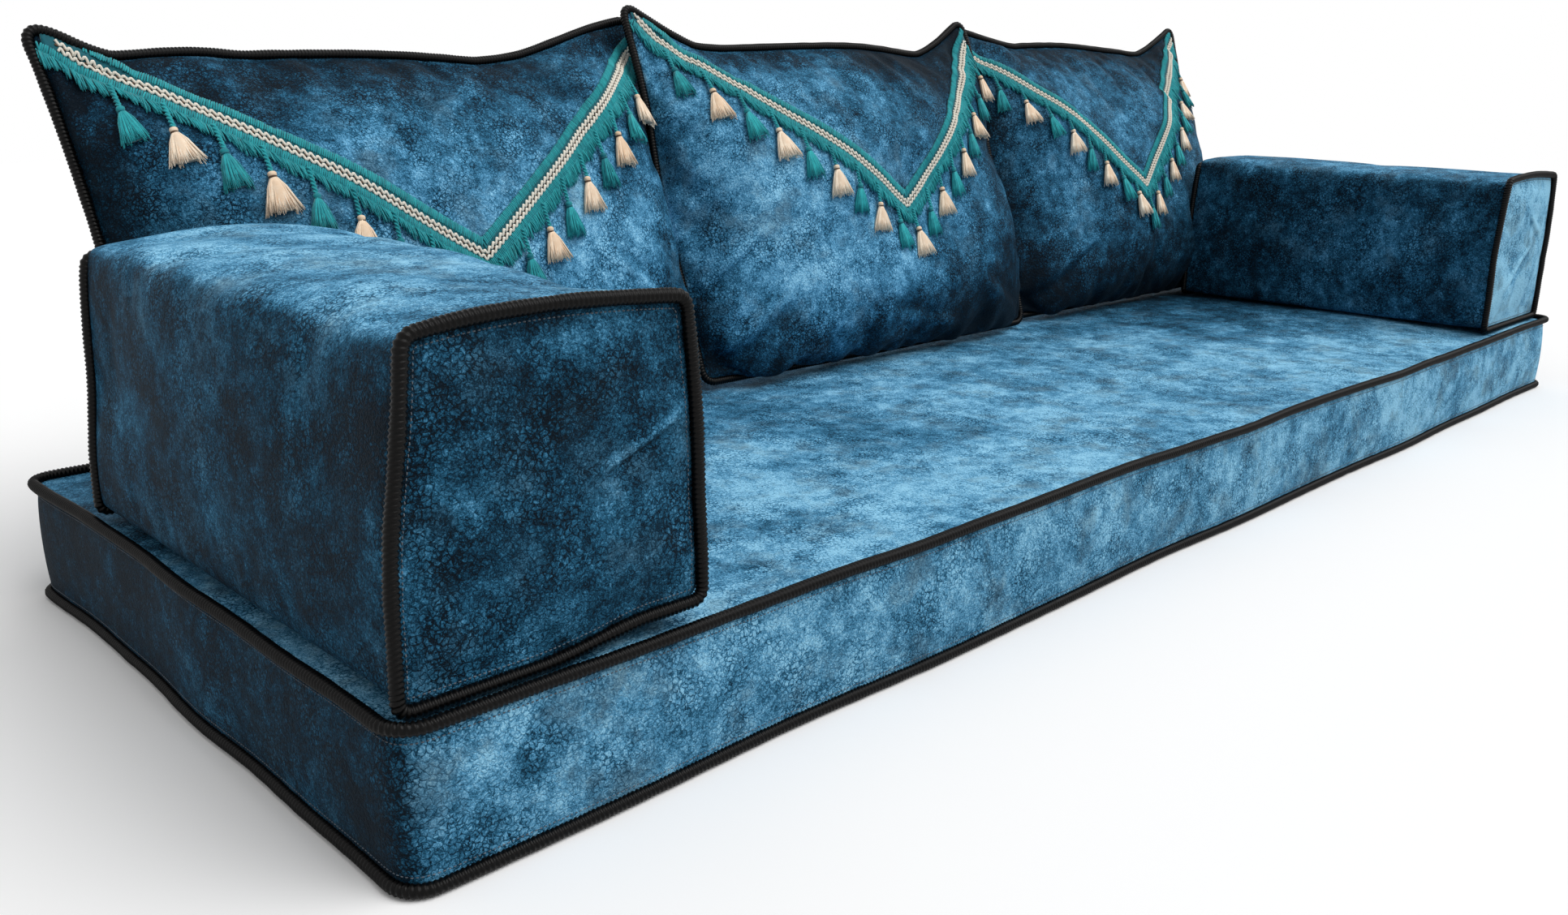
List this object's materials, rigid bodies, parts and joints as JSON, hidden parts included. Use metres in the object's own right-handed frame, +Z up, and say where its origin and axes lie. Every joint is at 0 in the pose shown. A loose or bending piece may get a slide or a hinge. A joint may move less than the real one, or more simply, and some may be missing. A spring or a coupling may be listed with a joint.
{
  "type": "majlis floor sofa",
  "caption": "Floor sofa: boxed foam mattress with piped edges, loose block armrests and leaning back cushions trimmed with a braid V, brush fringe and tassels.",
  "frame": {"origin": "centre of the mattress's underside, on the floor", "axes": "+Z up, +X along the seat towards the right-hand armrest seen from the front, +Y from the front edge to the back"},
  "size_m": [2.01, 0.7016, 0.5351],
  "materials": {
    "blue_velvet": "matt velvet, mottled azure, blue and navy",
    "black_piping": "satin wound thread",
    "teal_trim": "soft sheen yarn",
    "braid": "woven, teal edges and a cream zigzag",
    "cream_tassel": "soft sheen yarn",
    "foam": "open-cell foam",
    "fibre_fill": "loose fibre",
    "zip_tape": "woven tape with a nylon coil",
    "zip_metal": "satin black"
  },
  "bodies": {
    "mattress": {"mattress_foam_core": "foam", "mattress_top_panel": "blue_velvet", "mattress_side_band": "blue_velvet", "mattress_bottom_panel": "blue_velvet", "mattress_top_piping": "black_piping", "mattress_bottom_piping": "black_piping", "mattress_zip_chain": "zip_tape"},
    "arm_left": {"arm_left_foam_core": "foam", "arm_left_sleeve": "blue_velvet", "arm_left_front_panel": "blue_velvet", "arm_left_rear_panel": "blue_velvet", "arm_left_front_piping": "black_piping", "arm_left_rear_piping": "black_piping", "arm_left_zip_chain": "zip_tape"},
    "arm_right": {"arm_right_foam_core": "foam", "arm_right_sleeve": "blue_velvet", "arm_right_front_panel": "blue_velvet", "arm_right_rear_panel": "blue_velvet", "arm_right_front_piping": "black_piping", "arm_right_rear_piping": "black_piping", "arm_right_zip_chain": "zip_tape"},
    "cushion_left": {"cushion_left_fibre_insert": "fibre_fill", "cushion_left_front_panel": "blue_velvet", "cushion_left_rear_panel": "blue_velvet", "cushion_left_piping": "black_piping", "cushion_left_braid": "braid", "cushion_left_fringe": "teal_trim", "cushion_left_teal_tassels": "teal_trim", "cushion_left_cream_tassels": "cream_tassel", "cushion_left_zip_chain": "zip_tape"},
    "cushion_middle": {"cushion_middle_fibre_insert": "fibre_fill", "cushion_middle_front_panel": "blue_velvet", "cushion_middle_rear_panel": "blue_velvet", "cushion_middle_piping": "black_piping", "cushion_middle_braid": "braid", "cushion_middle_fringe": "teal_trim", "cushion_middle_teal_tassels": "teal_trim", "cushion_middle_cream_tassels": "cream_tassel", "cushion_middle_zip_chain": "zip_tape"},
    "cushion_right": {"cushion_right_fibre_insert": "fibre_fill", "cushion_right_front_panel": "blue_velvet", "cushion_right_rear_panel": "blue_velvet", "cushion_right_piping": "black_piping", "cushion_right_braid": "braid", "cushion_right_fringe": "teal_trim", "cushion_right_teal_tassels": "teal_trim", "cushion_right_cream_tassels": "cream_tassel", "cushion_right_zip_chain": "zip_tape"},
    "mattress_zip_slider": {"mattress_zip_slider": "zip_metal"},
    "mattress_zip_pull": {"mattress_zip_pull": "zip_metal"},
    "arm_left_zip_slider": {"arm_left_zip_slider": "zip_metal"},
    "arm_left_zip_pull": {"arm_left_zip_pull": "zip_metal"},
    "arm_right_zip_slider": {"arm_right_zip_slider": "zip_metal"},
    "arm_right_zip_pull": {"arm_right_zip_pull": "zip_metal"},
    "cushion_left_zip_slider": {"cushion_left_zip_slider": "zip_metal"},
    "cushion_left_zip_pull": {"cushion_left_zip_pull": "zip_metal"},
    "cushion_middle_zip_slider": {"cushion_middle_zip_slider": "zip_metal"},
    "cushion_middle_zip_pull": {"cushion_middle_zip_pull": "zip_metal"},
    "cushion_right_zip_slider": {"cushion_right_zip_slider": "zip_metal"},
    "cushion_right_zip_pull": {"cushion_right_zip_pull": "zip_metal"}
  },
  "joints": [
    {"name": "arm_left_lift", "type": "slide", "parent": "mattress", "child": "arm_left", "axis": [0, 0, 1], "range_m": [0, 0.4]},
    {"name": "arm_right_lift", "type": "slide", "parent": "mattress", "child": "arm_right", "axis": [0, 0, 1], "range_m": [0, 0.4]},
    {"name": "cushion_left_lift", "type": "slide", "parent": "mattress", "child": "cushion_left", "axis": [0, 0.309, 0.9511], "range_m": [0, 0.4]},
    {"name": "cushion_middle_lift", "type": "slide", "parent": "mattress", "child": "cushion_middle", "axis": [0, 0.309, 0.9511], "range_m": [0, 0.4]},
    {"name": "cushion_right_lift", "type": "slide", "parent": "mattress", "child": "cushion_right", "axis": [0, 0.309, 0.9511], "range_m": [0, 0.4]},
    {"name": "mattress_zip_run", "type": "slide", "parent": "mattress", "child": "mattress_zip_slider", "axis": [1, 0, 0], "range_m": [0, 1.3864]},
    {"name": "mattress_zip_pull_swing", "type": "hinge", "parent": "mattress_zip_slider", "child": "mattress_zip_pull", "pos_m": [-0.6932, 0.3333, 0.053], "axis": [0, 0, 1], "range_deg": [0, 175]},
    {"name": "arm_left_zip_run", "type": "slide", "parent": "arm_left", "child": "arm_left_zip_slider", "axis": [0, 1, 0], "range_m": [0, 0.3464]},
    {"name": "arm_left_zip_pull_swing", "type": "hinge", "parent": "arm_left_zip_slider", "child": "arm_left_zip_pull", "pos_m": [-0.76364, -0.2447, 0.16555], "axis": [0.0322, 0, -0.9995], "range_deg": [0, 175]},
    {"name": "arm_right_zip_run", "type": "slide", "parent": "arm_right", "child": "arm_right_zip_slider", "axis": [0, 1, 0], "range_m": [0, 0.3464]},
    {"name": "arm_right_zip_pull_swing", "type": "hinge", "parent": "arm_right_zip_slider", "child": "arm_right_zip_pull", "pos_m": [1.00036, -0.2332, 0.16555], "axis": [0.0322, 0, -0.9995], "range_deg": [0, 175]},
    {"name": "cushion_left_zip_run", "type": "slide", "parent": "cushion_left", "child": "cushion_left_zip_slider", "axis": [-1, 0, 0], "range_m": [0, 0.3164]},
    {"name": "cushion_left_zip_pull_swing", "type": "hinge", "parent": "cushion_left_zip_slider", "child": "cushion_left_zip_pull", "pos_m": [-0.4554, 0.27427, 0.14827], "axis": [0, -0.6263, -0.7796], "range_deg": [0, 175]},
    {"name": "cushion_middle_zip_run", "type": "slide", "parent": "cushion_middle", "child": "cushion_middle_zip_slider", "axis": [-1, 0, 0], "range_m": [0, 0.3164]},
    {"name": "cushion_middle_zip_pull_swing", "type": "hinge", "parent": "cushion_middle_zip_slider", "child": "cushion_middle_zip_pull", "pos_m": [0.1582, 0.24327, 0.14827], "axis": [0, -0.6263, -0.7796], "range_deg": [0, 175]},
    {"name": "cushion_right_zip_run", "type": "slide", "parent": "cushion_right", "child": "cushion_right_zip_slider", "axis": [-1, 0, 0], "range_m": [0, 0.3164]},
    {"name": "cushion_right_zip_pull_swing", "type": "hinge", "parent": "cushion_right_zip_slider", "child": "cushion_right_zip_pull", "pos_m": [0.799, 0.27427, 0.14827], "axis": [0, -0.6263, -0.7796], "range_deg": [0, 175]}
  ]
}
